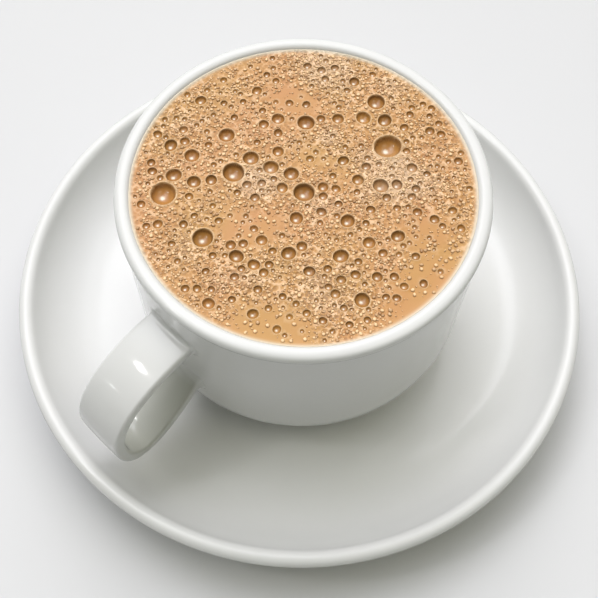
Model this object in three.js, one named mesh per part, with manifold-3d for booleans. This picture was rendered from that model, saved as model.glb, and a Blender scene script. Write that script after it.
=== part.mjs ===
// A cup of frothy masala chai on its saucer.
// Millimetres, +Z up, the origin on the table under the middle of the saucer, the handle towards -X.
import * as THREE from 'three';
import { mergeVertices } from 'three/addons/utils/BufferGeometryUtils.js';
import Module from 'manifold-3d';

// Saucer: a flat well, a gently rising floor, a wall of one round and a thick round lip.
const saucer = {
  radius: 75,
  lipHeight: 18.9,
  lipRadius: 2,
  wellRadius: 28.5,
  wellHeight: 6.6,
  wellEdge: 1.2,
  wellEdgeDrop: 0.25,
  floorRadius: 31.5,
  floorHeight: 7.6,
  wallStart: 54,
  wallStartHeight: 8.3,
  wallRound: 18.6,
  thickness: 4,
  ringInner: 26.5,
  ringOuter: 31,
  ringRise: 3,
  ringTaper: 1.2,
  undersideFrom: -80,
  undersideStop: 6,
  undersideSteps: 4,
  lipFrom: -35,
  lipTo: 155,
  lipSteps: 6,
  wallSteps: 6,
  segments: 60,
};

// Cup: a straight wall with a lip that stands out a little, turned in over one large round to a foot ring.
const cup = {
  rimHeight: 68,
  rimRadius: 42.6,
  lipThickness: 3.65,
  lipInner: 1.475,
  lipDepth: 1.6,
  lipDrop: 1.2,
  wallRadius: 42,
  turnHeight: 27.3,
  turnRadius: 17,
  innerWallRadius: 38.3,
  innerTurnRadius: 14,
  footOuter: 25.4,
  footInner: 22.2,
  footCorner: 0.8,
  footTaper: 1,
  footJoin: 0.6,
  lipSteps: 6,
  turnSteps: 6,
  innerTurnSteps: 5,
  segments: 64,
};

// Handle: a flat strap round a finger gap, its middle line two cubic arcs in the plane y = 0.
const handle = {
  width: 13.4,
  thickness: 3,
  edgeRound: 0.8,
  reach: 65.9,
  reachHeight: 34.8,
  topHeight: 53.3,
  topPull: [57.6, 53.7],
  topFall: 10,
  lowDrop: 13.3,
  lowPull: [59.2, 15.9],
  lowHeight: 34.8,
  rootRadius: 40,
  rootCover: 1,
  edgeSteps: 3,
  steps: 22,
};

// Chai: filled to just under the rim, with bubbles as round hollows in its froth.
const chai = {
  level: 66.9,
  edgeRise: 0.35,
  edgeWidth: 1.4,
  bubbleDepth: 0.85,
  largeFrom: 1.5,
  largeSides: 12,
  smallSides: 8,
  ringsPerSide: 0.75,
  segments: 56,
};

// Clear space between pieces that touch, and how near corners are when they are merged.
const gap = 0.3;
const mergeDistance = 1e-4;

// The largest bubbles: [x, y, radius].
const largeBubbles = [
  [21.5, -6, 3.2], [-23.5, 21, 2.9], [-8.5, 14, 2.5], [-1, -1, 2.35], [-25, 6.5, 2.3], [-2.5, 22.5, 1.85],
  [13, 12, 2], [12.5, -12, 1.8], [29, 4.5, 2.1], [23.5, 3.5, 1.75], [26.5, -0.5, 1.75], [-3, 14, 1.8],
  [-1.5, 9, 1.75], [0.5, 4.5, 1.7], [-12, 24, 1.7], [-18.5, 23, 1.8], [-16.5, 18.5, 1.55], [-13.5, 29.5, 1.6],
  [-14.5, -9.5, 1.65], [-23, -2, 1.65], [-7, -18, 1.75], [0.5, -13, 1.65], [-7, -4.5, 1.55],
  [-11.5, -28.5, 1.7], [-35, -6, 1.35], [5.5, -23.5, 1.55],
];

// Smaller bubbles are strewn by a seeded rule.
const smallBubbles = {
  count: 36,
  least: 0.85,
  most: 1.45,
  clearance: 0.35,
  reach: 35.5,
  seed: 7069,
};

// Glazed ceramic and milky tea.
const whiteGlaze = { color: 0xeceae6, roughness: 0.12, metalness: 0 };
const milkyTea = { color: 0xc4935f, roughness: 0.3, metalness: 0 };

const wasm = await Module();
wasm.setup();

// A solid from a closed geometry, with shared corners merged and empty triangles dropped.
function toSolid(geometry) {
  const bare = geometry.clone();
  bare.deleteAttribute('normal');
  bare.deleteAttribute('uv');
  const merged = mergeVertices(bare, mergeDistance);
  const index = Array.from(merged.index.array);
  const triVerts = [];
  for (let i = 0; i < index.length; i += 3) {
    const [a, b, c] = index.slice(i, i + 3);
    if (a !== b && b !== c && c !== a) {
      triVerts.push(a, b, c);
    }
  }
  return new wasm.Manifold(new wasm.Mesh({
    numProp: 3,
    vertProperties: new Float32Array(merged.attributes.position.array),
    triVerts: new Uint32Array(triVerts),
  }));
}

function toGeometry(solid) {
  const mesh = solid.getMesh();
  const geometry = new THREE.BufferGeometry();
  geometry.setAttribute('position', new THREE.BufferAttribute(mesh.vertProperties, 3));
  geometry.setIndex(new THREE.BufferAttribute(mesh.triVerts, 1));
  geometry.computeVertexNormals();
  return geometry;
}

// Points on a circle of the profile plane, from one angle to another, in degrees.
function arc(centreRadius, centreHeight, radius, from, to, steps) {
  const points = [];
  for (let i = 0; i <= steps; i += 1) {
    const angle = THREE.MathUtils.degToRad(from + (to - from) * i / steps);
    points.push(new THREE.Vector2(centreRadius + radius * Math.cos(angle), centreHeight + radius * Math.sin(angle)));
  }
  return points;
}

// A profile turned round the Z axis.
function turned(profile, segments) {
  const geometry = new THREE.LatheGeometry(profile, segments);
  geometry.rotateX(Math.PI / 2);
  return geometry;
}

function saucerGeometry() {
  const s = saucer;
  const point = (radius, height) => new THREE.Vector2(radius, height);
  const wallLean = Math.asin((s.radius - 2 * s.lipRadius - s.wallStart) / s.wallRound);
  const wallEnd = THREE.MathUtils.radToDeg(wallLean) - 90;
  const undersideEnd = wallEnd - s.undersideStop;
  const undersideRound = s.wallRound + s.thickness;
  const wallHeight = s.wallStartHeight + s.wallRound;
  const lipCentre = s.radius - s.lipRadius;
  const profile = [
    point(0, s.ringRise),
    point(s.ringInner - s.ringTaper / 2, s.ringRise),
    point(s.ringInner, 0),
    point(s.ringOuter - s.ringTaper, 0),
    point(s.ringOuter, s.ringRise),
    point(s.wallStart, s.wallStartHeight - s.thickness),
    ...arc(s.wallStart, wallHeight, undersideRound, s.undersideFrom, undersideEnd, s.undersideSteps),
    ...arc(lipCentre, s.lipHeight, s.lipRadius, s.lipFrom, s.lipTo, s.lipSteps),
    ...arc(s.wallStart, wallHeight, s.wallRound, wallEnd, -90, s.wallSteps),
    point(s.floorRadius, s.floorHeight),
    point(s.floorRadius - s.wellEdge, s.floorHeight - s.wellEdgeDrop),
    point(s.wellRadius + s.wellEdge / 2, s.wellHeight + s.wellEdgeDrop),
    point(s.wellRadius, s.wellHeight),
    point(0, s.wellHeight),
  ];
  return turned(profile, s.segments);
}

// The cup's inner face from the lip down to the middle of its floor, drawn in by a clearance.
function innerProfile(clearance, topHeight) {
  const c = cup;
  const turnCentre = c.innerWallRadius - c.innerTurnRadius;
  const topRadius = c.rimRadius - c.lipThickness;
  return [
    new THREE.Vector2(topRadius - clearance, topHeight),
    ...arc(turnCentre, c.turnHeight, c.innerTurnRadius - clearance, 0, -90, c.innerTurnSteps),
    new THREE.Vector2(0, c.turnHeight - c.innerTurnRadius + clearance),
  ];
}

function cupBodyGeometry() {
  const c = cup;
  const turnCentre = c.wallRadius - c.turnRadius;
  const bodyBottom = c.turnHeight - c.turnRadius;
  const footHeight = saucer.wellHeight + gap;
  const lipOuter = c.lipThickness - c.lipInner;
  const lipBase = c.rimHeight - c.lipDepth;
  const lip = arc(0, 0, 1, 0, 180, c.lipSteps).slice(0, -1).map((p) => new THREE.Vector2(
    c.rimRadius - lipOuter + p.x * (p.x > 0 ? lipOuter : c.lipInner),
    lipBase + p.y * c.lipDepth,
  ));
  const footMeets = Math.acos((c.footOuter + c.footJoin - turnCentre) / c.turnRadius);
  const profile = [
    new THREE.Vector2(0, bodyBottom),
    new THREE.Vector2(c.footInner - c.footTaper, bodyBottom),
    new THREE.Vector2(c.footInner, footHeight + c.footCorner),
    new THREE.Vector2(c.footInner + c.footCorner, footHeight),
    new THREE.Vector2(c.footOuter - c.footCorner, footHeight),
    new THREE.Vector2(c.footOuter, footHeight + c.footCorner),
    ...arc(turnCentre, c.turnHeight, c.turnRadius, -THREE.MathUtils.radToDeg(footMeets), 0, c.turnSteps),
    new THREE.Vector2(c.wallRadius, lipBase - c.lipDrop),
    ...lip,
    ...innerProfile(0, lipBase),
  ];
  return turned(profile, c.segments);
}

// The strap's section: a rectangle with round edges, as wide as the strap along x.
function strapSection() {
  const h = handle;
  const x = h.width / 2;
  const y = h.thickness / 2;
  const r = h.edgeRound;
  const shape = new THREE.Shape();
  shape.moveTo(x, y - r);
  shape.absarc(x - r, y - r, r, 0, Math.PI / 2, false);
  shape.absarc(r - x, y - r, r, Math.PI / 2, Math.PI, false);
  shape.absarc(r - x, r - y, r, Math.PI, 1.5 * Math.PI, false);
  shape.absarc(x - r, r - y, r, 1.5 * Math.PI, 2 * Math.PI, false);
  return shape;
}

function handleGeometry() {
  const h = handle;
  const at = (radius, height) => new THREE.Vector3(-radius, 0, height);
  const route = new THREE.CurvePath();
  route.add(new THREE.CubicBezierCurve3(
    at(h.rootRadius, h.topHeight),
    at(...h.topPull),
    at(h.reach, h.reachHeight + h.topFall),
    at(h.reach, h.reachHeight),
  ));
  route.add(new THREE.CubicBezierCurve3(
    at(h.reach, h.reachHeight),
    at(h.reach, h.reachHeight - h.lowDrop),
    at(...h.lowPull),
    at(h.rootRadius, h.lowHeight),
  ));
  const options = { steps: h.steps, extrudePath: route, curveSegments: h.edgeSteps };
  return new THREE.ExtrudeGeometry(strapSection(), options);
}

// What the strap's roots stay clear of: the room inside the cup and a thin layer of its wall.
function cupFilling() {
  const c = cup;
  const inner = innerProfile(-handle.rootCover, c.rimHeight);
  return toSolid(turned([...inner.reverse(), new THREE.Vector2(0, c.rimHeight)], c.segments));
}

function cupGeometry() {
  const strap = toSolid(handleGeometry()).subtract(cupFilling());
  return toGeometry(toSolid(cupBodyGeometry()).add(strap));
}

// A linear congruential generator of numbers from 0 to 1.
function generator(seed) {
  const multiplier = 1664525;
  const increment = 1013904223;
  let state = seed;
  return () => {
    state = (Math.imul(state, multiplier) + increment) >>> 0;
    return state / 2 ** 32;
  };
}

// The large bubbles, then small ones wherever a random spot is clear of all before it.
function allBubbles() {
  const s = smallBubbles;
  const random = generator(s.seed);
  const bubbles = [...largeBubbles];
  while (bubbles.length < largeBubbles.length + s.count) {
    const x = (2 * random() - 1) * s.reach;
    const y = (2 * random() - 1) * s.reach;
    const radius = s.least + (s.most - s.least) * random() ** 2;
    const clear = bubbles.every(([bx, by, br]) => Math.hypot(x - bx, y - by) > radius + br + s.clearance);
    if (clear && Math.hypot(x, y) < s.reach) {
      bubbles.push([x, y, radius]);
    }
  }
  return bubbles;
}

// A bubble's hollow: a ball whose cut with the level has the bubble's radius.
function hollow([x, y, radius]) {
  const depth = chai.bubbleDepth * radius;
  const ballRadius = (radius * radius + depth * depth) / (2 * depth);
  const sides = radius > chai.largeFrom ? chai.largeSides : chai.smallSides;
  const ball = new THREE.SphereGeometry(ballRadius, sides, sides * chai.ringsPerSide);
  ball.rotateX(Math.PI / 2);
  ball.translate(x, y, chai.level - depth + ballRadius);
  return toSolid(ball);
}

function chaiGeometry() {
  const edgeRadius = cup.rimRadius - cup.lipThickness - gap;
  const profile = [
    ...innerProfile(gap, chai.level + chai.edgeRise).reverse(),
    new THREE.Vector2(edgeRadius - chai.edgeWidth, chai.level),
    new THREE.Vector2(0, chai.level),
  ];
  let solid = toSolid(turned(profile, chai.segments));
  for (const bubble of allBubbles()) {
    solid = solid.subtract(hollow(bubble));
  }
  return toGeometry(solid);
}

function piece(name, geometry, finish) {
  const mesh = new THREE.Mesh(geometry, new THREE.MeshStandardMaterial(finish));
  mesh.name = name;
  return mesh;
}

const chaiInCup = new THREE.Group();
chaiInCup.add(
  piece('saucer', saucerGeometry(), whiteGlaze),
  piece('cup', cupGeometry(), whiteGlaze),
  piece('chai', chaiGeometry(), milkyTea),
);

export default chaiInCup;
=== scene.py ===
import math

import bpy
import numpy as np
from mathutils import Matrix, Vector
from mathutils.geometry import delaunay_2d_cdt


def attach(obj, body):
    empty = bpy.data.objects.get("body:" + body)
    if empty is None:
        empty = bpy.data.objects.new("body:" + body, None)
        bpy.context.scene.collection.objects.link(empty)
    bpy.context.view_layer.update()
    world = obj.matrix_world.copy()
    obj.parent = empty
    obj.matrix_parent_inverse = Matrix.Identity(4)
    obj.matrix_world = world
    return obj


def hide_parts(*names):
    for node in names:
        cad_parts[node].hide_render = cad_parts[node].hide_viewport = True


# Masala chai in a white cup on its saucer. Sizes below are in millimetres, and Blender gets metres.
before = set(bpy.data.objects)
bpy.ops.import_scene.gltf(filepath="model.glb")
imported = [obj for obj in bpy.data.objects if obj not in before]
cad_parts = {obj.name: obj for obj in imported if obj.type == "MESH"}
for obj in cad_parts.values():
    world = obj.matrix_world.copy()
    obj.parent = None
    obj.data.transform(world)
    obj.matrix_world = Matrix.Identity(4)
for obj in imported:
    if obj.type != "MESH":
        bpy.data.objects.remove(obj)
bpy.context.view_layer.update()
mm = 0.001


# Mesh helpers

# faces: one integer array for each kind of face, a row of corner numbers for each face
def meshPiece(name, points, faces, material, paints=None):
    mesh = bpy.data.meshes.new(name)
    corners = np.concatenate([f.ravel() for f in faces]).astype(np.int32)
    sizes = np.concatenate([np.full(len(f), f.shape[1]) for f in faces])
    mesh.vertices.add(len(points))
    mesh.vertices.foreach_set("co", (points * mm).astype(np.float32).ravel())
    mesh.loops.add(len(corners))
    mesh.loops.foreach_set("vertex_index", corners)
    mesh.polygons.add(len(sizes))
    mesh.polygons.foreach_set("loop_start", (np.cumsum(sizes) - sizes).astype(np.int32))
    mesh.update(calc_edges=True)
    mesh.validate()
    mesh.shade_smooth()
    for paintName, values in (paints or {}).items():
        layer = mesh.attributes.new(paintName, "FLOAT", "POINT")
        layer.data.foreach_set("value", values.astype(np.float32))
    piece = bpy.data.objects.new(name, mesh)
    bpy.context.scene.collection.objects.link(piece)
    mesh.materials.append(material)
    return piece


# point(t) = centre + radius (cos t, sin t), t in degrees
def arc(centreRadius, centreHeight, radius, start, end, steps):
    t = np.radians(np.linspace(start, end, steps + 1))
    return np.stack([centreRadius + radius * np.cos(t), centreHeight + radius * np.sin(t)], 1)


# An outline walked at even steps, its corners rounded by a bell-shaped running mean
def softened(outline, step, corner):
    length = np.concatenate([[0], np.cumsum(np.hypot(*np.diff(outline, axis=0).T))])
    count = int(length[-1] / step)
    walk = np.linspace(0, length[-1], count + 1)
    even = np.stack([np.interp(walk, length, outline[:, k]) for k in (0, 1)], 1)
    reach = int(3 * corner / step)
    weights = np.exp(-0.5 * (np.arange(-reach, reach + 1) * step / corner) ** 2)
    head = even[1:reach + 1][::-1] * [-1, 1]
    tail = even[-reach - 1:-1][::-1] * [-1, 1]
    padded = np.concatenate([head, even, tail])
    return np.stack([np.convolve(padded[:, k], weights / weights.sum(), "valid") for k in (0, 1)], 1)


# Faces of rows of points round a tube. Two poles follow the rows, each with a fan that closes an end
def tubeFaces(rows, around):
    i, j = np.meshgrid(np.arange(rows - 1), np.arange(around), indexing="ij")
    k = (j + 1) % around
    quads = np.stack([i * around + j, i * around + k, (i + 1) * around + k, (i + 1) * around + j], -1)
    j = np.arange(around)
    k = (j + 1) % around
    pole = rows * around
    last = pole - around
    under = np.stack([np.full(around, pole), k, j], 1)
    upper = np.stack([np.full(around, pole + 1), last + j, last + k], 1)
    return [quads.reshape(-1, 4), under, upper]


# point(i, j) = (r_i cos a_j, r_i sin a_j, z_i), its first and last point on the axis
def turned(outline, around):
    a = np.arange(around) * 2 * math.pi / around
    ring = outline[1:-1]
    grid = np.stack([
        np.outer(ring[:, 0], np.cos(a)),
        np.outer(ring[:, 0], np.sin(a)),
        np.repeat(ring[:, 1:], around, 1),
    ], -1)
    poles = [[0, 0, outline[0, 1]], [0, 0, outline[-1, 1]]]
    return np.concatenate([grid.reshape(-1, 3), poles]), tubeFaces(len(ring), around)


# Materials

def newMaterial(name):
    material = bpy.data.materials.new(name)
    material.use_nodes = True
    tree = material.node_tree
    return material, tree, tree.nodes["Principled BSDF"]


def noiseNode(tree, scale, detail):
    place = tree.nodes.new("ShaderNodeTexCoord")
    noise = tree.nodes.new("ShaderNodeTexNoise")
    noise.inputs["Scale"].default_value = scale
    noise.inputs["Detail"].default_value = detail
    tree.links.new(place.outputs["Object"], noise.inputs["Vector"])
    return noise.outputs["Fac"]


def paintNode(tree, name):
    node = tree.nodes.new("ShaderNodeAttribute")
    node.attribute_name = name
    return node.outputs["Fac"]


def mathNode(tree, operation, *sources):
    node = tree.nodes.new("ShaderNodeMath")
    node.operation = operation
    for socket, source in zip(node.inputs, sources):
        if isinstance(source, (int, float)):
            socket.default_value = source
        else:
            tree.links.new(source, socket)
    return node.outputs[0]


def rampNode(tree, source, low, high, colours):
    ramp = tree.nodes.new("ShaderNodeValToRGB")
    tree.links.new(source, ramp.inputs["Fac"])
    for element, position, colour in zip(ramp.color_ramp.elements, (low, high), colours):
        element.position = position
        element.color = (*colour, 1)
    return ramp.outputs["Color"]


def rangeNode(tree, source, fromLow, fromHigh, toLow, toHigh):
    node = tree.nodes.new("ShaderNodeMapRange")
    limits = {"From Min": fromLow, "From Max": fromHigh, "To Min": toLow, "To Max": toHigh}
    for name, value in limits.items():
        node.inputs[name].default_value = value
    tree.links.new(source, node.inputs["Value"])
    return node.outputs["Result"]


def bumpNode(tree, shader, source, strength, distance):
    bump = tree.nodes.new("ShaderNodeBump")
    bump.inputs["Strength"].default_value = strength
    bump.inputs["Distance"].default_value = distance
    tree.links.new(source, bump.inputs["Height"])
    tree.links.new(bump.outputs["Normal"], shader.inputs["Normal"])


def mixNode(tree, amount, first, second):
    mix = tree.nodes.new("ShaderNodeMix")
    mix.data_type = "RGBA"
    for socket, source in ((mix.inputs["Factor"], amount), (mix.inputs[6], first), (mix.inputs[7], second)):
        if isinstance(source, tuple):
            socket.default_value = (*source, 1)
        else:
            tree.links.new(source, socket)
    return mix.outputs[2]


glazeLook = {
    "clay": ((0.70, 0.70, 0.69), (0.73, 0.73, 0.72)),
    "toneScale": 26,
    "gloss": (0.055, 0.12),
    "glossScale": 60,
    "bend": 1.5,
    "shine": 0.3,
    "peelScale": 420,
    "peelStrength": 0.25,
    "peelDepth": 0.00004,
    "bareClay": (0.63, 0.60, 0.55),
    "bareRoughness": 0.7,
    "bareFade": 0.3,
    "gapShadeTone": (0.42, 0.43, 0.36),
}


# Glossy white glaze: faint clouds of tone, uneven gloss, a fine orange peel, a darker painted shade where the
# handle's faces look into its finger gap, and bare clay under bareHeight
def glazeMaterial(name, bareHeight):
    look = glazeLook
    material, tree, shader = newMaterial(name)
    tone = rampNode(tree, noiseNode(tree, look["toneScale"], 4), 0.3, 0.7, look["clay"])
    place = tree.nodes.new("ShaderNodeTexCoord")
    split = tree.nodes.new("ShaderNodeSeparateXYZ")
    tree.links.new(place.outputs["Object"], split.inputs["Vector"])
    bare = rangeNode(tree, split.outputs["Z"], bareHeight * mm, (bareHeight + look["bareFade"]) * mm, 1, 0)
    # painted shade: the glaze darkened where the handle looks into its finger gap
    tone = mixNode(tree, paintNode(tree, "gapShade"), tone, look["gapShadeTone"])
    tree.links.new(mixNode(tree, bare, tone, look["bareClay"]), shader.inputs["Base Color"])
    gloss = rangeNode(tree, noiseNode(tree, look["glossScale"], 3), 0.3, 0.7, *look["gloss"])
    rough = mathNode(tree, "MAXIMUM", gloss, rangeNode(tree, bare, 0, 1, 0, look["bareRoughness"]))
    tree.links.new(rough, shader.inputs["Roughness"])
    shader.inputs["IOR"].default_value = look["bend"]
    shader.inputs["Specular IOR Level"].default_value = look["shine"]
    bumpNode(tree, shader, noiseNode(tree, look["peelScale"], 2), look["peelStrength"], look["peelDepth"])
    return material


# Saucer

saucerShape = {
    "radius": 75,
    "lipHeight": 18.9,
    "lipRadius": 2,
    "wellRadius": 28.5,
    "wellHeight": 6.6,
    "wellEdge": 1.2,
    "wellEdgeDrop": 0.25,
    "floorRadius": 31.5,
    "floorHeight": 7.6,
    "wallStart": 54,
    "wallStartHeight": 8.3,
    "wallRound": 18.6,
    "thickness": 4,
    "undersideFrom": -80,
    "undersideStop": 6,
    "lipFrom": -35,
    "lipTo": 155,
    "ringInner": 26.5,
    "ringOuter": 31,
    "ringRise": 3,
    "ringTaper": 1.2,
    "bareBelow": 0.5,
    "step": 0.7,
    "corner": 0.45,
    "around": 192,
}


# The outline in (radius, height), turned round Z: foot ring, underside, lip, wall, floor and well
def makeSaucer():
    s = saucerShape
    wallHeight = s["wallStartHeight"] + s["wallRound"]
    lean = math.asin((s["radius"] - 2 * s["lipRadius"] - s["wallStart"]) / s["wallRound"])
    wallEnd = math.degrees(lean) - 90
    undersideRound = s["wallRound"] + s["thickness"]
    lipCentre = s["radius"] - s["lipRadius"]
    outline = np.concatenate([
        [[0, s["ringRise"]], [s["ringInner"] - s["ringTaper"] / 2, s["ringRise"]]],
        [[s["ringInner"], 0], [s["ringOuter"] - s["ringTaper"], 0], [s["ringOuter"], s["ringRise"]]],
        [[s["wallStart"], s["wallStartHeight"] - s["thickness"]]],
        arc(s["wallStart"], wallHeight, undersideRound, s["undersideFrom"], wallEnd - s["undersideStop"], 16),
        arc(lipCentre, s["lipHeight"], s["lipRadius"], s["lipFrom"], s["lipTo"], 24),
        arc(s["wallStart"], wallHeight, s["wallRound"], wallEnd, -90, 24),
        [[s["floorRadius"], s["floorHeight"]]],
        [[s["floorRadius"] - s["wellEdge"], s["floorHeight"] - s["wellEdgeDrop"]]],
        [[s["wellRadius"] + s["wellEdge"] / 2, s["wellHeight"] + s["wellEdgeDrop"]]],
        [[s["wellRadius"], s["wellHeight"]], [0, s["wellHeight"]]],
    ])
    points, faces = turned(softened(outline, s["step"], s["corner"]), s["around"])
    points[:, 2] = np.maximum(points[:, 2], 0)
    saucer = meshPiece("saucerPorcelain", points, faces, glazeMaterial("saucerGlaze", s["bareBelow"]))
    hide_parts("saucer")
    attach(saucer, "root")


# Cup

cupShape = {
    "rimHeight": 68,
    "rimRadius": 42.6,
    "lipThickness": 3.65,
    "lipInner": 1.475,
    "lipDepth": 1.6,
    "lipSquareness": 0.65,
    "lipRun": 0.4,
    "lipStep": 0.8,
    "wallRadius": 42,
    "turnHeight": 27.3,
    "turnRadius": 17,
    "innerWallRadius": 38.3,
    "innerTurnRadius": 14,
    "footOuter": 25.4,
    "footInner": 22.2,
    "footHeight": 6.9,
    "footCorner": 0.8,
    "footTaper": 1,
    "footJoin": 0.6,
    "bareBelow": 7.4,
    "step": 0.5,
    "corner": 0.3,
    "around": 224,
}

handleShape = {
    "width": 13.4,
    "thickness": 3,
    "edgeRound": 0.75,
    "crown": 0.2,
    "rootRadius": 40,
    "route": (
        ((40, 53.3), (57.6, 53.7), (65.9, 44.8), (65.9, 34.8)),
        ((65.9, 34.8), (65.9, 21.5), (59.2, 15.9), (40, 34.8)),
    ),
    "fillets": (0.9, 1.3),
    "gapMiddle": (-53, 0, 38),
    # strength and fade of the painted shade in the finger gap
    "gapShadeShare": 0.55,
    "gapShadeFade": 2,
    "steps": 84,
    "rootSteps": 16,
    "rootShare": (0.02, 0.1),
    "buried": 4,
    "edgeSteps": 7,
    "sideSteps": (10, 3),
}


# The cup without its handle. The lip is an ellipse of its own width on each side of its crest, and the
# outer side is squared: (cos t)^q, (sin t)^q
def cupBody():
    c = cupShape
    turnCentre = c["wallRadius"] - c["turnRadius"]
    bodyBottom = c["turnHeight"] - c["turnRadius"]
    innerCentre = c["innerWallRadius"] - c["innerTurnRadius"]
    lipOuter = c["lipThickness"] - c["lipInner"]
    lipBase = c["rimHeight"] - c["lipDepth"]
    footMeets = math.degrees(math.acos((c["footOuter"] + c["footJoin"] - turnCentre) / c["turnRadius"]))
    lip = arc(0, 0, 1, 0, 180, 20)
    lip = np.sign(lip) * np.abs(lip) ** np.where(lip[:, :1] > 0, c["lipSquareness"], 1)
    lip[:, 0] *= np.where(lip[:, 0] > 0, lipOuter, c["lipInner"])
    lip = lip * [1, c["lipDepth"]] + [c["rimRadius"] - lipOuter, lipBase]
    lipFoot = lipBase - c["lipRun"]
    foot = c["footHeight"]
    corner = c["footCorner"]
    outline = np.concatenate([
        [[0, bodyBottom], [c["footInner"] - c["footTaper"], bodyBottom]],
        [[c["footInner"], foot + corner], [c["footInner"] + corner, foot]],
        [[c["footOuter"] - corner, foot], [c["footOuter"], foot + corner]],
        arc(turnCentre, c["turnHeight"], c["turnRadius"], -footMeets, 0, 30),
        [[c["wallRadius"], lipFoot - c["lipStep"]], [c["rimRadius"], lipFoot]],
        lip,
        arc(innerCentre, c["turnHeight"], c["innerTurnRadius"], 0, -90, 24),
        [[0, c["turnHeight"] - c["innerTurnRadius"]]],
    ])
    return turned(softened(outline, c["step"], c["corner"]), c["around"])


# How far a point lies outside the cup's outer face: straight wall above the turn, a round below it
def outsideCup(points):
    c = cupShape
    radius = np.hypot(points[..., 0], points[..., 1])
    turnCentre = c["wallRadius"] - c["turnRadius"]
    below = np.minimum(points[..., 2] - c["turnHeight"], 0)
    return np.hypot(np.maximum(radius - turnCentre, 0), below) - c["turnRadius"]


# A rounded rectangle, its long faces a little crowned: points and the directions out of them
def strapSection():
    h = handleShape
    r = h["edgeRound"]
    x = h["width"] / 2 - r
    y = h["thickness"] / 2 - r
    spots = []
    outs = []
    quarter = np.radians(np.linspace(0, 90, h["edgeSteps"] + 1))
    for k, (sx, sy) in enumerate(((1, 1), (-1, 1), (-1, -1), (1, -1))):
        t = quarter + k * math.pi / 2
        out = np.stack([np.cos(t), np.sin(t)], 1)
        spots.append([sx * x, sy * y] + r * out)
        outs.append(out)
        end = spots[-1][-1]
        following = np.array(([-x, y + r], [-x - r, -y], [x, -y - r], [x + r, y])[k])
        steps = h["sideSteps"][k % 2]
        share = (np.arange(1, steps) / steps)[:, None]
        spots.append(end + (following - end) * share)
        outs.append(np.repeat(out[-1:], steps - 1, 0))
    spots = np.concatenate(spots)
    outs = np.concatenate(outs)
    bulge = h["crown"] * (1 - (spots[:, 0] / (x + r)) ** 2)
    spots[:, 1] += np.sign(spots[:, 1]) * bulge * np.abs(outs[:, 1])
    return spots, outs


# B(t) = sum of the four cubic Bernstein terms, and its derivative
def bezier(corners, t):
    p = np.array(corners, float)
    t = t[:, None]
    place = (1 - t) ** 3 * p[0] + 3 * t * (1 - t) ** 2 * p[1] + 3 * t * t * (1 - t) * p[2] + t ** 3 * p[3]
    run = 3 * ((1 - t) ** 2 * (p[1] - p[0]) + 2 * t * (1 - t) * (p[2] - p[1]) + t * t * (p[3] - p[2]))
    return place, run


# point(i, j) = route_i + u_j y + v_j n_i, pushed out near the wall by f - sqrt(f^2 - (f - d)^2), where d
# is how far it lies outside the cup and f the fillet of that half, which flares both roots on to the wall
def cupHandle():
    h = handleShape
    # even steps along both arcs, with closer ones near the roots
    even = np.linspace(0, 1, h["steps"] // 2 + 1)
    t = np.sort(np.concatenate([even, np.linspace(*h["rootShare"], h["rootSteps"])]))
    half = len(t)
    first, firstRun = bezier(h["route"][0], t)
    second, secondRun = bezier(h["route"][1], (1 - t)[::-1][1:])
    run = np.concatenate([firstRun, secondRun, secondRun[-1:]])
    run /= np.hypot(*run.T)[:, None]
    # the low end runs on into the wall
    route = np.concatenate([first, second, second[-1:] + h["buried"] * run[-1:]])
    side = np.stack([-run[:, 1], run[:, 0]], 1)
    spots, outs = strapSection()

    def carried(section):
        across = np.broadcast_to(section[:, 0], (len(side), len(section)))
        return np.stack([-side[:, :1] * section[:, 1], across, side[:, 1:] * section[:, 1]], -1)

    middle = np.stack([-route[:, 0], np.zeros(len(route)), route[:, 1]], -1)
    points = middle[:, None] + carried(spots)
    ways = carried(outs)
    f = np.where(np.arange(len(route)) < half, *h["fillets"])[:, None]
    near = np.clip(outsideCup(points), 0, f)
    points += ways * (f - np.sqrt(f * f - (f - near) ** 2))[..., None]
    radius = np.hypot(points[..., 0], points[..., 1])
    points[..., :2] *= np.maximum(1, h["rootRadius"] / radius)[..., None]
    faces = tubeFaces(*points.shape[:2])
    return np.concatenate([points.reshape(-1, 3), points[[0, -1]].mean(1)]), faces


# Painted shade for the finger gap: how far a face looks at the middle of the gap, normal . way to it, on the
# strap alone, which fades in over handleShape's fade width outside the wall
def paintGapShade(mesh):
    h = handleShape
    points = np.empty(len(mesh.vertices) * 3, np.float32)
    mesh.vertices.foreach_get("co", points)
    ways = np.empty(len(mesh.vertices) * 3, np.float32)
    mesh.vertices.foreach_get("normal", ways)
    points = points.reshape(-1, 3) / mm
    inward = h["gapMiddle"] - points * [1, 0, 1]
    inward /= np.linalg.norm(inward, axis=1)[:, None]
    facing = np.clip((ways.reshape(-1, 3) * inward).sum(1), 0, 1)
    outside = np.hypot(points[:, 0], points[:, 1]) - cupShape["wallRadius"]
    strap = np.clip(outside / h["gapShadeFade"], 0, 1)
    layer = mesh.attributes.new("gapShade", "FLOAT", "POINT")
    layer.data.foreach_set("value", (h["gapShadeShare"] * facing * strap).astype(np.float32))


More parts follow.
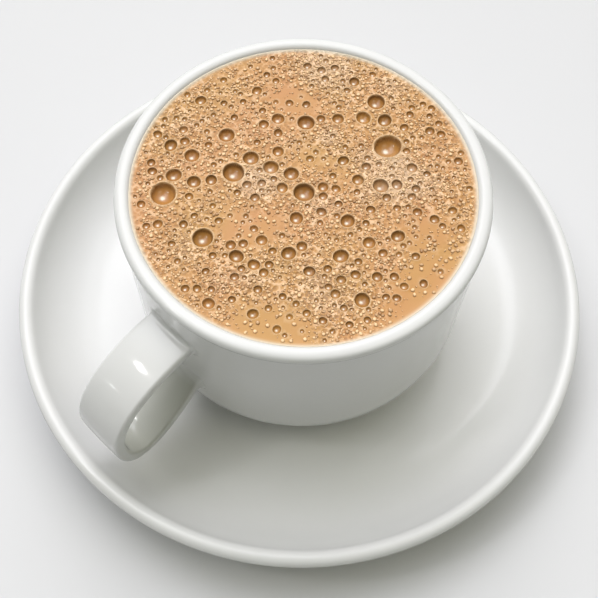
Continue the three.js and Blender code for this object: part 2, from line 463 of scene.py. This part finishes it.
# One closed porcelain body: the turned cup and its strap, united
def makeCup():
    glaze = glazeMaterial("cupGlaze", cupShape["bareBelow"])
    cup = meshPiece("cupPorcelain", *cupBody(), glaze)
    strap = meshPiece("strapHandle", *cupHandle(), glaze)
    # a negative volume tells that the strap's faces all point inwards
    if sum(f.center.dot(f.normal) * f.area for f in strap.data.polygons) < 0:
        strap.data.flip_normals()
    union = cup.modifiers.new("union", "BOOLEAN")
    union.operation = "UNION"
    union.solver = "MANIFOLD"
    union.object = strap
    bpy.context.view_layer.update()
    united = bpy.data.meshes.new_from_object(cup.evaluated_get(bpy.context.evaluated_depsgraph_get()))
    cup.modifiers.clear()
    cup.data = united
    united.shade_smooth()
    # paints the shade in the handle's finger gap
    paintGapShade(united)
    bpy.data.objects.remove(strap)
    print("cup faces", len(united.polygons))
    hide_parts("cup")
    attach(cup, "root")


# Chai

chaiShape = {
    "level": 66.9,
    "edgeRadius": 39.25,
    "edgeRise": 0.4,
    "edgeWidth": 0.7,
    "edgeInsets": (0, 0.25, 0.5, 0.8, 1.15),
    "edgePoints": 420,
    "sideRadius": 38.65,
    "sideTop": 65.8,
    "turnHeight": 27.3,
    "innerWallRadius": 38.0,
    "innerTurnRadius": 13.7,
    "swell": 0.05,
    "swellWaves": (0.35, 0.31),
    "swellPhase": 0.8,
    "squeeze": 0.12,
    "crest": 0.1,
    "crestPlace": 1.06,
    "crestWidth": 0.13,
    # paint bells: a painted shade on each bubble's wall, a painted highlight on its rim, and a painted
    # highlight spot
    "wallPlace": 0.93,
    "wallWidth": 0.1,
    "rimPlace": 1.1,
    "rimWidth": 0.09,
    "paintedGlintPlace": (-0.1, 0.07),
    "paintedGlintSize": 0.17,
    "smallPaintedGlint": 0.16,
    "darkness": (0.55, 1.1),
    "openSpacing": 0.8,
    "openShake": 0.25,
    "openReach": 38.2,
    "openMargin": 0.1,
}

# The largest bubbles: [x, y, radius]
largeBubbles = [
    [21.5, -6, 3.2], [-23.5, 21, 2.9], [-8.5, 14, 2.5], [-1, -1, 2.35], [-25, 6.5, 2.3], [-2.5, 22.5, 1.85],
    [13, 12, 2], [12.5, -12, 1.8], [29, 4.5, 2.1], [23.5, 3.5, 1.75], [26.5, -0.5, 1.75], [-3, 14, 1.8],
    [-1.5, 9, 1.75], [0.5, 4.5, 1.7], [-12, 24, 1.7], [-18.5, 23, 1.8], [-16.5, 18.5, 1.55],
    [-13.5, 29.5, 1.6], [-14.5, -9.5, 1.65], [-23, -2, 1.65], [-7, -18, 1.75], [0.5, -13, 1.65],
    [-7, -4.5, 1.55], [-11.5, -28.5, 1.7], [-35, -6, 1.35], [5.5, -23.5, 1.55],
]

# Further ones, each left out where it would meet one of the others
middleBubbles = [
    [-13.4, 16.1, 1.35], [-0.2, -20.1, 1.4], [11.4, -1.4, 1.35], [10, -7.3, 1.35], [15.3, -14.4, 1.35],
    [21.1, -13.8, 1.25], [9.2, 17.4, 1.5], [5.2, 17.7, 1.6], [19.1, 7.5, 1.4], [29.7, 12.2, 1.3],
    [11.4, 26.7, 1.25], [-3.6, 3.3, 1.35], [-7.5, 6.5, 1.2], [-5.9, 9.7, 1.2], [-8.6, 9.5, 1.1],
    [3.1, -3, 1.25], [4.8, -5.4, 1.1],
]
middleClearance = 0.15
strewnBubbles = {"count": 36, "least": 0.85, "most": 1.45, "clearance": 0.35, "reach": 35.5, "seed": 7069}
smallBubbles = {
    "tries": 1500,
    "half": 38,
    "reach": 38.4,
    "least": 0.45,
    "most": 1.2,
    "smallness": 2.2,
    "clearance": 0.2,
    "chance": 0.35,
    "chanceInFroth": 0.3,
}

# Where fine froth gathers and where the tea lies open: [x, y, radius, strength]
frothPatches = [
    [15.4, -10.4, 9, 0.8], [-6.5, 8.1, 5.5, 1], [-17.5, -22.4, 9, 0.6], [-24.9, -4.8, 8, 0.45],
    [-29.3, 10.1, 6, 0.3], [28.6, 20.1, 8, 0.8], [36.2, 4.9, 5, 0.5], [-9.6, 31.7, 7, 0.3],
    [-0.5, -26.8, 6, 0.4], [-1.4, -7, 6, 0.4], [13.6, 5.8, 3, 0.7], [17.2, -19, 6, 0.5],
    [15.3, 18.2, 5, -0.7], [-16.3, 1, 6, -0.8], [11, -24.5, 6, -0.6], [0, -37.6, 9, -1],
    [-29.7, -22.3, 9, -0.9], [9.1, -4.1, 4, -0.5], [6.5, 5, 4, -0.4],
]
frothWaves = {
    "base": 0.5,
    "height": 0.14,
    "across": (0.41, 1.3, 0.23),
    "along": (0.37, 1.1, 0.29),
    "most": 1.3,
}

random = np.random.default_rng(41)


# exp(-((t - place) / width)^2)
def bell(t, place, width):
    return np.exp(-((t - place) / width) ** 2)


# sin(a p + b sin(c q))
def bentWave(p, q, waves):
    return np.sin(waves[0] * p + waves[1] * np.sin(waves[2] * q))


# density(x, y) = base + slow waves + sum of strength exp(-d^2 / radius^2)
def frothDensity(x, y):
    w = frothWaves
    density = w["base"] + w["height"] * bentWave(x, y, w["across"]) * bentWave(y, x, w["along"])
    for px, py, radius, strength in frothPatches:
        density = density + strength * np.exp(-((x - px) ** 2 + (y - py) ** 2) / radius ** 2)
    return np.clip(density, 0, w["most"])


# The same linear congruential numbers that strew the hollows of the solid
def strewn(start):
    s = strewnBubbles
    state = s["seed"]

    def draw():
        nonlocal state
        state = (state * 1664525 + 1013904223) % 2 ** 32
        return state / 2 ** 32

    bubbles = [list(b) for b in start]
    while len(bubbles) < len(start) + s["count"]:
        x = (2 * draw() - 1) * s["reach"]
        y = (2 * draw() - 1) * s["reach"]
        radius = s["least"] + (s["most"] - s["least"]) * draw() ** 2
        clear = all(math.hypot(x - bx, y - by) > radius + br + s["clearance"] for bx, by, br in bubbles)
        if clear and math.hypot(x, y) < s["reach"]:
            bubbles.append([x, y, radius])
    return bubbles


# Random small ones, kept only where clear of all bubbles so far
def withSmallBubbles(bubbles):
    s = smallBubbles
    kept = [np.array(b, float) for b in bubbles]
    spots = random.uniform(-s["half"], s["half"], (s["tries"], 2))
    radii = s["least"] + (s["most"] - s["least"]) * random.random(s["tries"]) ** s["smallness"]
    wanted = random.random(s["tries"]) < s["chance"] + s["chanceInFroth"] * frothDensity(*spots.T)
    inside = np.hypot(*spots.T) + radii < s["reach"]
    for (x, y), r in zip(spots[wanted & inside], radii[wanted & inside]):
        known = np.array(kept)
        if (np.hypot(known[:, 0] - x, known[:, 1] - y) > known[:, 2] + r + s["clearance"]).all():
            kept.append(np.array([x, y, r]))
    return np.array(kept)


# A honeycomb of spots over the drink, each shaken by a share of its spacing
def shakenSpots(spacing, shake, reach):
    rows = np.arange(-reach, reach, spacing * math.sqrt(3) / 2)
    columns = np.arange(-reach, reach, spacing)
    y, x = np.meshgrid(rows, columns, indexing="ij")
    x = x + (np.arange(len(rows)) % 2)[:, None] * spacing / 2
    spots = np.stack([x.ravel(), y.ravel()], 1)
    spots += random.uniform(-shake, shake, spots.shape) * spacing
    return spots[np.hypot(*spots.T) < reach]


# Least of distance - radius - margin to any bubble, in blocks to spare memory
def nearness(spots, bubbles, margin):
    least = np.full(len(spots), np.inf)
    for block in np.array_split(bubbles, max(1, len(bubbles) // 60)):
        d = np.hypot(spots[:, None, 0] - block[None, :, 0], spots[:, None, 1] - block[None, :, 1])
        least = np.minimum(least, (d - block[None, :, 2] - margin).min(1))
    return least


# The drink's slow swell: swell sin(a x + phase) sin(b y) (1 - (d / edgeRadius)^2)
def chaiSwell(spots):
    c = chaiShape
    along, across = c["swellWaves"]
    swell = c["swell"] * np.sin(along * spots[:, 0] + c["swellPhase"]) * np.sin(across * spots[:, 1])
    return swell * (1 - (np.hypot(*spots.T) / c["edgeRadius"]) ** 2)


# Height over the level, in radii, at t radii from a bubble's middle:
# crest * bell for the rim, less depth sqrt(1 - t^2), half an egg, for the hollow
def bubbleHeight(t, depth):
    c = chaiShape
    hollow = depth * np.sqrt(1 - np.minimum(t, 1) ** 2)
    return c["crest"] * bell(t, c["crestPlace"], c["crestWidth"]) - hollow


# Rings of points round every bubble of one size class, as whole arrays:
# point(b, k, j) = middle_b + t_k r_b (cos a_j, sin a_j), squeezed a little across a random line.
# The paints follow t: hollow sqrt(1 - t^2), the deeper brown of the tea in the hollow and partly painted
# shade, bells for the painted shade on the wall and the painted highlight on the rim, and a painted
# highlight spot near the middle. Hollow and wall are stronger in one bubble than in another
def ringedBubbles(bubbles, rings, counts, depth):
    c = chaiShape
    x, y, r = bubbles.T
    lean = random.uniform(0, math.pi, len(r))
    flat = 1 - random.uniform(0, c["squeeze"], len(r))
    turn = random.uniform(0, 2 * math.pi, len(r))
    dark = random.uniform(*c["darkness"], (len(r), 1))
    paintedGlintSize = c["paintedGlintSize"] + c["smallPaintedGlint"] / (1 + r[:, None] ** 2)
    spots, heights, paints = [], [], []
    for t, count in zip(rings, counts):
        a = turn[:, None] + (np.arange(count) * 2 * math.pi / count + t * 2)[None, :]
        u, v = t * np.cos(a), t * np.sin(a)
        along = u * np.cos(lean)[:, None] + v * np.sin(lean)[:, None]
        offset = along * (flat[:, None] - 1)
        u = u + offset * np.cos(lean)[:, None]
        v = v + offset * np.sin(lean)[:, None]
        spots.append(np.stack([x[:, None] + r[:, None] * u, y[:, None] + r[:, None] * v], -1).reshape(-1, 2))
        heights.append(np.repeat(r * bubbleHeight(t, depth), count))
        shift = np.hypot(u - c["paintedGlintPlace"][0], v - c["paintedGlintPlace"][1])
        # paints: hollow brown and partly painted shade, painted shade on the wall, painted highlight on the
        # rim, painted highlight spot
        paint = np.stack([
            dark * np.full(u.shape, math.sqrt(1 - min(t, 1) ** 2)),
            dark * np.full(u.shape, bell(t, c["wallPlace"], c["wallWidth"])),
            np.full(u.shape, bell(t, c["rimPlace"], c["rimWidth"])),
            np.exp(-(shift / paintedGlintSize) ** 4),
        ], -1)
        paints.append(paint.reshape(-1, 4))
    return np.concatenate(spots), np.concatenate(heights), np.concatenate(paints)


# Size classes: least radius, rings in radii, points on each ring, depth in radii
ringClasses = [
    (
        2.0,
        (0.0, 0.12, 0.22, 0.33, 0.48, 0.64, 0.78, 0.88, 0.95, 0.99, 1.03, 1.09, 1.16, 1.26),
        (1, 6, 10, 14, 18, 22, 26, 30, 34, 36, 36, 36, 36, 32),
        0.62,
    ),
    (
        1.3,
        (0.0, 0.16, 0.3, 0.48, 0.68, 0.83, 0.93, 0.99, 1.04, 1.11, 1.22),
        (1, 6, 10, 14, 18, 22, 26, 28, 28, 28, 26),
        0.62,
    ),
    (
        0.8,
        (0.0, 0.2, 0.38, 0.6, 0.8, 0.93, 0.99, 1.05, 1.13, 1.24),
        (1, 5, 8, 12, 16, 19, 20, 20, 19, 18),
        0.62,
    ),
    (
        0.42,
        (0.0, 0.26, 0.5, 0.78, 0.96, 1.06, 1.18),
        (1, 5, 8, 11, 13, 13, 12),
        0.62,
    ),
]
# bubble paints: hollow brown partly painted shade, wall painted shade, rim painted highlight, spot painted
# highlight
paintNames = ("hollow", "wall", "rimHighlight", "paintedGlint")


chaiLook = {
    "gold": (0.525, 0.272, 0.07),
    "rose": (0.545, 0.252, 0.078),
    "patchScale": 70,
    # bubble tones: hollow brown partly painted shade, a painted shade on the wall, painted highlights on the
    # rim and spot
    "hollowBrownShadeTone": (0.287, 0.126, 0.0348),
    "hollowShare": 0.7,
    "wallShadeTone": (0.104, 0.0435, 0.0113),
    "wallShadeShare": 0.75,
    "rimHighlightTone": (0.8, 0.592, 0.365),
    "rimHighlightShare": 0.6,
    "paintedGlintTone": (0.87, 0.8, 0.661),
    "gloss": (0.42, 0.1),
    "glossFade": 0.3,
    "bend": 1.42,
    "crumbScale": 1050,
    "crumbWarp": 0.0012,
    "crumbDepth": 0.0003,
    "crumbFrom": (0.15, 0.9),
    "crumbFade": 0.4,
    # froth cells: dark pits partly painted shade, cream ridges partly painted highlight
    "pitShadeTone": (0.17, 0.068, 0.02),
    "pitRange": (0.3, 0.5),
    "pitShare": 0.6,
    "ridgeHighlightTone": (0.88, 0.60, 0.365),
    "ridgeRange": (0.55, 0.8),
    "foamTone": (0.84, 0.61, 0.42),
    "foamFrom": (0.75, 1.25),
    "foamShare": 0.5,
    "filmTone": (0.74, 0.66, 0.52),
    "filmWidth": 0.6,
}


# The finest froth: distance from the middles of small uneven cells, 0 in a pit and 0.5 or more on a ridge
def crumbNode(tree, scale, warp):
    place = tree.nodes.new("ShaderNodeTexCoord")
    noise = tree.nodes.new("ShaderNodeTexNoise")
    noise.inputs["Scale"].default_value = scale / 2
    shift = tree.nodes.new("ShaderNodeVectorMath")
    shift.operation = "MULTIPLY_ADD"
    shift.inputs[1].default_value = (warp, warp, warp)
    tree.links.new(place.outputs["Object"], noise.inputs["Vector"])
    tree.links.new(noise.outputs["Color"], shift.inputs[0])
    tree.links.new(place.outputs["Object"], shift.inputs[2])
    cells = tree.nodes.new("ShaderNodeTexVoronoi")
    cells.inputs["Scale"].default_value = scale
    tree.links.new(shift.outputs["Vector"], cells.inputs["Vector"])
    return cells.outputs["Distance"]


# Milky tea in gold and rosy patches. Froth adds dark pits, partly painted shade, cream ridges, partly
# painted highlight, and a paler foam between the bubbles, whose hollows are brown and partly painted shade,
# with a painted shade on the wall, a painted highlight on the rim and a painted highlight spot. A pale film
# follows the cup. Open tea is duller than the wet hollows
def makeChaiMaterial():
    look = chaiLook
    material, tree, shader = newMaterial("milkyTea")

    def paint(name, low=0, high=1, most=1):
        return rangeNode(tree, paintNode(tree, name), low, high, 0, most)

    tone = rampNode(tree, noiseNode(tree, look["patchScale"], 4), 0.35, 0.65, (look["gold"], look["rose"]))
    crumb = crumbNode(tree, look["crumbScale"], look["crumbWarp"])
    level = rangeNode(tree, paintNode(tree, "hollow"), 0, look["crumbFade"], 1, 0)
    froth = mathNode(tree, "MULTIPLY", paint("cloud", *look["crumbFrom"]), level)
    # dark pits, partly painted shade, and cream ridges, partly painted highlight
    pit = mathNode(tree, "MULTIPLY", froth, rangeNode(tree, crumb, *look["pitRange"], look["pitShare"], 0))
    ridge = mathNode(tree, "MULTIPLY", froth, rangeNode(tree, crumb, *look["ridgeRange"], 0, 1))
    tone = mixNode(tree, pit, tone, look["pitShadeTone"])
    tone = mixNode(tree, ridge, tone, look["ridgeHighlightTone"])
    tone = mixNode(tree, paint("cloud", *look["foamFrom"], look["foamShare"]), tone, look["foamTone"])
    # bubble paints: hollow brown partly painted shade, painted shade on the wall, painted highlights on the
    # rim and spot
    tone = mixNode(tree, paint("hollow", 0, 0.8, look["hollowShare"]), tone, look["hollowBrownShadeTone"])
    tone = mixNode(tree, paint("wall", 0, 1, look["wallShadeShare"]), tone, look["wallShadeTone"])
    tone = mixNode(tree, paint("rimHighlight", 0, 1, look["rimHighlightShare"]), tone, look["rimHighlightTone"])
    tone = mixNode(tree, paint("paintedGlint"), tone, look["paintedGlintTone"])
    tone = mixNode(tree, paint("film"), tone, look["filmTone"])
    tree.links.new(tone, shader.inputs["Base Color"])
    rough = rangeNode(tree, paintNode(tree, "hollow"), 0, look["glossFade"], *look["gloss"])
    tree.links.new(rough, shader.inputs["Roughness"])
    shader.inputs["IOR"].default_value = look["bend"]
    bumpNode(tree, shader, mathNode(tree, "MULTIPLY", froth, crumb), 1, look["crumbDepth"])
    return material


beadShape = {
    "outline": ((0, -0.3), (1, -0.3), (0.84, 0.3), (0.48, 0.5), (0, 0.56)),
    "around": 6,
    "flattest": 0.7,
    "smallest": 0.16,
    "least": 0.2,
    "most": 0.6,
    "fill": 0.64,
    "spacing": 0.76,
    "shake": 0.42,
    "reach": 38.5,
    "spotMargin": 0.08,
    "margin": 0.04,
    "edgeClearance": 0.5,
    "chance": 0.06,
    "chanceInFroth": 0.6,
    # tint: how strong the painted highlight on each bead's top is
    "tint": (0.3, 1.3),
    "litCapTop": 0.85,
    "litCapFall": 6,
    "pieces": 2,
    # brown foot, partly painted shade, and cream top, partly painted highlight
    "brownShadedFoot": (0.26, 0.105, 0.028),
    "creamLitCap": (0.92, 0.63, 0.35),
    "gloss": (0.14, 0.36),
    "glossScale": 800,
}

speckShape = {
    "least": 0.11,
    "most": 0.24,
    "spacing": 0.9,
    "shake": 0.5,
    "reach": 38.2,
    "margin": 0.05,
    "lift": 0.12,
    "chance": 0.15,
    "chanceInFroth": 0.9,
    # strong tints: the specks are painted sparkles of highlight
    "tint": (0.8, 1.3),
}


# Beads of froth: brown round the foot, partly painted shade, and cream on top, partly painted highlight,
# some paler than others, and wet
def makeBeadMaterial():
    look = beadShape
    material, tree, shader = newMaterial("frothBead")
    tone = mixNode(tree, paintNode(tree, "litCap"), look["brownShadedFoot"], look["creamLitCap"])
    tree.links.new(tone, shader.inputs["Base Color"])
    rough = rangeNode(tree, noiseNode(tree, look["glossScale"], 2), 0.3, 0.7, *look["gloss"])
    tree.links.new(rough, shader.inputs["Roughness"])
    shader.inputs["IOR"].default_value = chaiLook["bend"]
    return material


# Domes of one turned shape, joined: point(b, k) = middle_b + r_b turn_b(p_k, q_k, h_k).
# The paint, cream as a painted highlight on the top and brown as painted shade round the foot, falls from
# the top as exp(-(t / top)^fall) with beadShape's top and fall, more or less from bead to bead
def beadPiece(name, spots, radii, lift, tint, material):
    c = beadShape
    dome, faces = turned(np.array(c["outline"], float), c["around"])
    turn = random.uniform(0, math.pi, (len(spots), 1))
    squeeze = random.uniform(c["flattest"], 1, (len(spots), 1))
    u = dome[None, :, 0]
    v = dome[None, :, 1] * squeeze
    x = spots[:, :1] + radii[:, None] * (u * np.cos(turn) - v * np.sin(turn))
    y = spots[:, 1:] + radii[:, None] * (u * np.sin(turn) + v * np.cos(turn))
    z = chaiShape["level"] + lift + chaiSwell(spots)[:, None] + radii[:, None] * dome[None, :, 2]
    # painted highlight on each bead's top, falling to painted shade round its foot
    litCap = tint[:, None] * np.exp(-(np.hypot(dome[:, 0], dome[:, 1]) / c["litCapTop"]) ** c["litCapFall"])[None]
    start = (np.arange(len(spots)) * len(dome))[:, None, None]
    every = [(f[None] + start).reshape(-1, f.shape[1]) for f in faces]
    paints = {"litCap": np.clip(litCap, 0, 1).ravel()}
    beads = meshPiece(name, np.stack([x, y, z], -1).reshape(-1, 3), every, material, paints)
    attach(beads, "root")


# Froth between the bubbles. A bead's radius is a share of the way to its nearest neighbour
def makeBeads(bubbles, material):
    c = beadShape
    spots = shakenSpots(c["spacing"], c["shake"], c["reach"])
    spots = spots[random.random(len(spots)) < c["chance"] + c["chanceInFroth"] * frothDensity(*spots.T)]
    spots = spots[nearness(spots, bubbles, c["spotMargin"]) > c["least"]]
    nearest = []
    for block in np.array_split(spots, 12):  # in blocks to spare memory
        gaps = np.hypot(block[:, None, 0] - spots[None, :, 0], block[:, None, 1] - spots[None, :, 1])
        nearest.append(np.sort(gaps, 1)[:, 1])
    radii = np.clip(c["fill"] * np.concatenate(nearest), c["least"], c["most"])
    radii = np.minimum(radii, nearness(spots, bubbles, c["margin"]))
    edge = chaiShape["edgeRadius"] - c["edgeClearance"] - np.hypot(*spots.T)
    keep = (radii > c["smallest"]) & (edge > radii)
    spots, radii = spots[keep], radii[keep]
    tint = random.uniform(*c["tint"], len(spots))
    for k, rows in enumerate(np.array_split(np.arange(len(spots)), c["pieces"])):
        beadPiece("frothBeads%d" % (k + 1), spots[rows], radii[rows], 0, tint[rows], material)
    print("froth beads", len(spots))


# The finest beads, between and on top of the others, mostly cream with a painted highlight
def makeSpecks(bubbles, material):
    c = speckShape
    spots = shakenSpots(c["spacing"], c["shake"], c["reach"])
    spots = spots[random.random(len(spots)) < c["chance"] + c["chanceInFroth"] * frothDensity(*spots.T)]
    radii = random.uniform(c["least"], c["most"], len(spots))
    free = nearness(spots, bubbles, c["margin"]) > radii
    spots, radii = spots[free], radii[free]
    beadPiece("frothSpecks", spots, radii, c["lift"], random.uniform(*c["tint"], len(spots)), material)
    print("froth specks", len(spots))


# The surface as one net of triangles: rings round every bubble, shaken spots between them, and rings
# along the edge. Gives (x, y), height over the level and paint of each point, and the triangles, face up
def frothSurface(bubbles):
    c = chaiShape
    parts = []
    most = np.inf
    for least, rings, counts, depth in ringClasses:
        chosen = bubbles[(bubbles[:, 2] >= least) & (bubbles[:, 2] < most)]
        most = least
        parts.append(ringedBubbles(chosen, rings, counts, depth))
    plain = shakenSpots(c["openSpacing"], c["openShake"], c["openReach"])
    plain = [plain[nearness(plain, bubbles, c["openMargin"]) > c["openMargin"]]]
    a = np.arange(c["edgePoints"]) * 2 * math.pi / c["edgePoints"]
    plain += [(c["edgeRadius"] - inset) * np.stack([np.cos(a), np.sin(a)], 1) for inset in c["edgeInsets"]]
    parts += [(spots, np.zeros(len(spots)), np.zeros((len(spots), len(paintNames)))) for spots in plain]
    spots, heights, paints = [np.concatenate([p[k] for p in parts]) for k in range(3)]
    keep = np.hypot(*spots.T) <= c["edgeRadius"] + 1e-6
    spots, heights, paints = spots[keep], heights[keep], paints[keep]
    found, _, triangles, origins, _, _ = delaunay_2d_cdt([Vector(p) for p in spots], [], [], 0, 1e-4)
    first = np.array([o[0] for o in origins])
    spots = np.array([tuple(p) for p in found])
    triangles = np.array(triangles)
    p, q, r = (spots[triangles[:, k]] for k in range(3))
    area = (q[:, 0] - p[:, 0]) * (r[:, 1] - p[:, 1]) - (q[:, 1] - p[:, 1]) * (r[:, 0] - p[:, 0])
    triangles[area < 0] = triangles[area < 0][:, ::-1]
    return spots, heights[first], paints[first], triangles[np.abs(area) > 1e-9]


def makeChai():
    c = chaiShape
    bubbles = np.array(strewn(largeBubbles))
    middle = np.array(middleBubbles)
    free = nearness(middle[:, :2], bubbles, middleClearance) > middle[:, 2]
    bubbles = withSmallBubbles(np.concatenate([bubbles, middle[free]]))
    print("bubbles", len(bubbles))
    spots, heights, paints, triangles = frothSurface(bubbles)
    radius = np.hypot(*spots.T)
    z = c["level"] + heights + chaiSwell(spots)
    z += c["edgeRise"] * np.exp(-(c["edgeRadius"] - radius) / c["edgeWidth"])
    # the side: down the wall and round to the floor, from the edge ring
    edge = np.where(radius > c["edgeRadius"] - 1e-3)[0]
    edge = edge[np.argsort(np.arctan2(spots[edge, 1], spots[edge, 0]))]
    turnCentre = c["innerWallRadius"] - c["innerTurnRadius"]
    wall = np.concatenate([
        [[c["sideRadius"], c["sideTop"]]],
        arc(turnCentre, c["turnHeight"], c["innerTurnRadius"], 0, -90, 8),
    ])
    a = np.arctan2(spots[edge, 1], spots[edge, 0])
    side = np.stack([
        np.outer(wall[:, 0], np.cos(a)),
        np.outer(wall[:, 0], np.sin(a)),
        np.repeat(wall[:, 1:], len(a), 1),
    ], -1)
    points = np.concatenate([np.column_stack([spots, z]), side.reshape(-1, 3), [[0, 0, wall[-1, 1]]]])
    rows = np.concatenate([edge[None], len(spots) + np.arange(len(wall) * len(a)).reshape(len(wall), -1)])
    following = np.roll(rows, -1, 1)
    quads = np.stack([rows[:-1], rows[1:], following[1:], following[:-1]], -1).reshape(-1, 4)
    bottom = np.stack([np.full(len(a), len(points) - 1), following[-1], rows[-1]], 1)
    layers = dict(zip(paintNames, paints.T))
    layers["cloud"] = frothDensity(*spots.T)
    layers["film"] = bell(radius, c["edgeRadius"], chaiLook["filmWidth"])
    pad = np.zeros(len(points) - len(spots))
    layers = {name: np.concatenate([values, pad]) for name, values in layers.items()}
    chai = meshPiece("milkyTea", points, [triangles, quads, bottom], makeChaiMaterial(), layers)
    print("chai triangles", len(triangles) + 2 * len(quads) + len(bottom))
    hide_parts("chai")
    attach(chai, "root")
    material = makeBeadMaterial()
    makeBeads(bubbles, material)
    makeSpecks(bubbles, material)


# Stage, light and camera

photoTurn = Matrix.Rotation(math.radians(-47.5), 3, "Z")  # the photo looks along this frame's +Y

cameraView = {
    "distance": 117.1,
    "height": 249.1,
    "yaw": -0.11,
    "pitch": 63.94,
    "roll": -2.02,
    "focal": 957,
    "frame": 598,
    "sensor": 36,
}


def makeCamera():
    v = cameraView
    yaw, pitch, roll = (math.radians(v[k]) for k in ("yaw", "pitch", "roll"))
    ahead = Vector((math.sin(yaw) * math.cos(pitch), math.cos(yaw) * math.cos(pitch), -math.sin(pitch)))
    level = Vector((math.cos(yaw), -math.sin(yaw), 0))
    down = ahead.cross(level)
    right = level * math.cos(roll) + down * math.sin(roll)
    lower = down * math.cos(roll) - level * math.sin(roll)
    turn = Matrix((right, -lower, -ahead)).transposed()
    place = photoTurn @ Vector((0, -v["distance"], v["height"])) * mm
    data = bpy.data.cameras.new("photoCamera")
    data.sensor_width = v["sensor"]
    data.lens = v["sensor"] * v["focal"] / v["frame"]
    data.clip_start = 0.01
    camera = bpy.data.objects.new("photoCamera", data)
    camera.matrix_world = Matrix.Translation(place) @ (photoTurn @ turn).to_4x4()
    bpy.context.scene.collection.objects.link(camera)
    bpy.context.scene.camera = camera


lightRig = {
    "lobes": (
        # degrees from straight up, degrees round from the back to the right, width, brightness, colour
        (22, 315, 10, 6.9, (0.94, 0.94, 1.0)),
        (27, 250, 9, 2.6, (1.0, 1.0, 0.96)),
        (24, 108, 9, 3.1, (1.0, 0.98, 0.8)),
        (27, 49, 8, 1.9, (0.95, 0.96, 1.0)),
        (43, 345, 13, 4.4, (0.98, 0.97, 1.0)),
        (43, 20, 13, 2.3, (0.98, 0.96, 1.0)),
    ),
    "room": (0.07, 0.08, 0.05),
    "glints": (
        # direction in the photo's frame, width, brightness
        ((-0.51, -0.075, 0.857), 0.1, 32),
        ((-0.811, -0.344, 0.474), 0.024, 60),
    ),
    "glintDistance": 1.4,
}


# A direction in the photo's frame: tilted from straight up, then turned from the back towards the right
def skyWay(tilt, turn):
    tilt, turn = math.radians(tilt), math.radians(turn)
    return Vector((math.sin(tilt) * math.sin(turn), math.sin(tilt) * math.cos(turn), math.cos(tilt)))


# sky(w) = room + sum of brightness exp((cos(angle between w and the lobe's axis) - 1) / width^2)
def makeLight():
    g = lightRig
    world = bpy.data.worlds.new("room")
    bpy.context.scene.world = world
    world.use_nodes = True
    tree = world.node_tree
    tree.nodes.clear()
    place = tree.nodes.new("ShaderNodeTexCoord")

    def background(colour, strength):
        node = tree.nodes.new("ShaderNodeBackground")
        node.inputs["Color"].default_value = (*colour, 1)
        if strength is not None:
            tree.links.new(strength, node.inputs["Strength"])
        return node.outputs[0]

    total = background(g["room"], None)
    for tilt, turn, width, brightness, colour in g["lobes"]:
        dot = tree.nodes.new("ShaderNodeVectorMath")
        dot.operation = "DOT_PRODUCT"
        tree.links.new(place.outputs["Generated"], dot.inputs[0])
        dot.inputs[1].default_value = photoTurn @ skyWay(tilt, turn)
        away = mathNode(tree, "SUBTRACT", dot.outputs["Value"], 1)
        fall = mathNode(tree, "EXPONENT", mathNode(tree, "MULTIPLY", away, 1 / math.radians(width) ** 2))
        add = tree.nodes.new("ShaderNodeAddShader")
        tree.links.new(total, add.inputs[0])
        tree.links.new(background(colour, mathNode(tree, "MULTIPLY", fall, brightness)), add.inputs[1])
        total = add.outputs[0]
    tree.links.new(total, tree.nodes.new("ShaderNodeOutputWorld").inputs["Surface"])
    for direction, width, brightness in g["glints"]:
        data = bpy.data.lights.new("glint", "AREA")
        data.size = width
        data.energy = brightness * math.pi * width ** 2
        lamp = bpy.data.objects.new("glint", data)
        way = (photoTurn @ Vector(direction)).normalized()
        lamp.location = way * g["glintDistance"]
        lamp.rotation_euler = way.to_track_quat("Z", "Y").to_euler()
        bpy.context.scene.collection.objects.link(lamp)


floorLook = {"half": 1500, "tones": ((0.63, 0.63, 0.64), (0.65, 0.65, 0.66)), "scale": 3, "roughness": 0.6}


def makeFloor():
    g = floorLook
    material, tree, shader = newMaterial("paleFloor")
    tone = rampNode(tree, noiseNode(tree, g["scale"], 2), 0.3, 0.7, g["tones"])
    tree.links.new(tone, shader.inputs["Base Color"])
    shader.inputs["Roughness"].default_value = g["roughness"]
    corners = np.array([[-1.0, -1, 0], [1, -1, 0], [1, 1, 0], [-1, 1, 0]]) * g["half"]
    floor = meshPiece("floor", corners, [np.array([[0, 1, 2, 3]])], material)


makeCamera()
makeLight()
makeFloor()
print("stage, light and camera are set")
makeSaucer()
print("saucer made")
makeCup()
print("cup made")
makeChai()
print("chai made")
bpy.context.scene.view_settings.view_transform = "Standard"
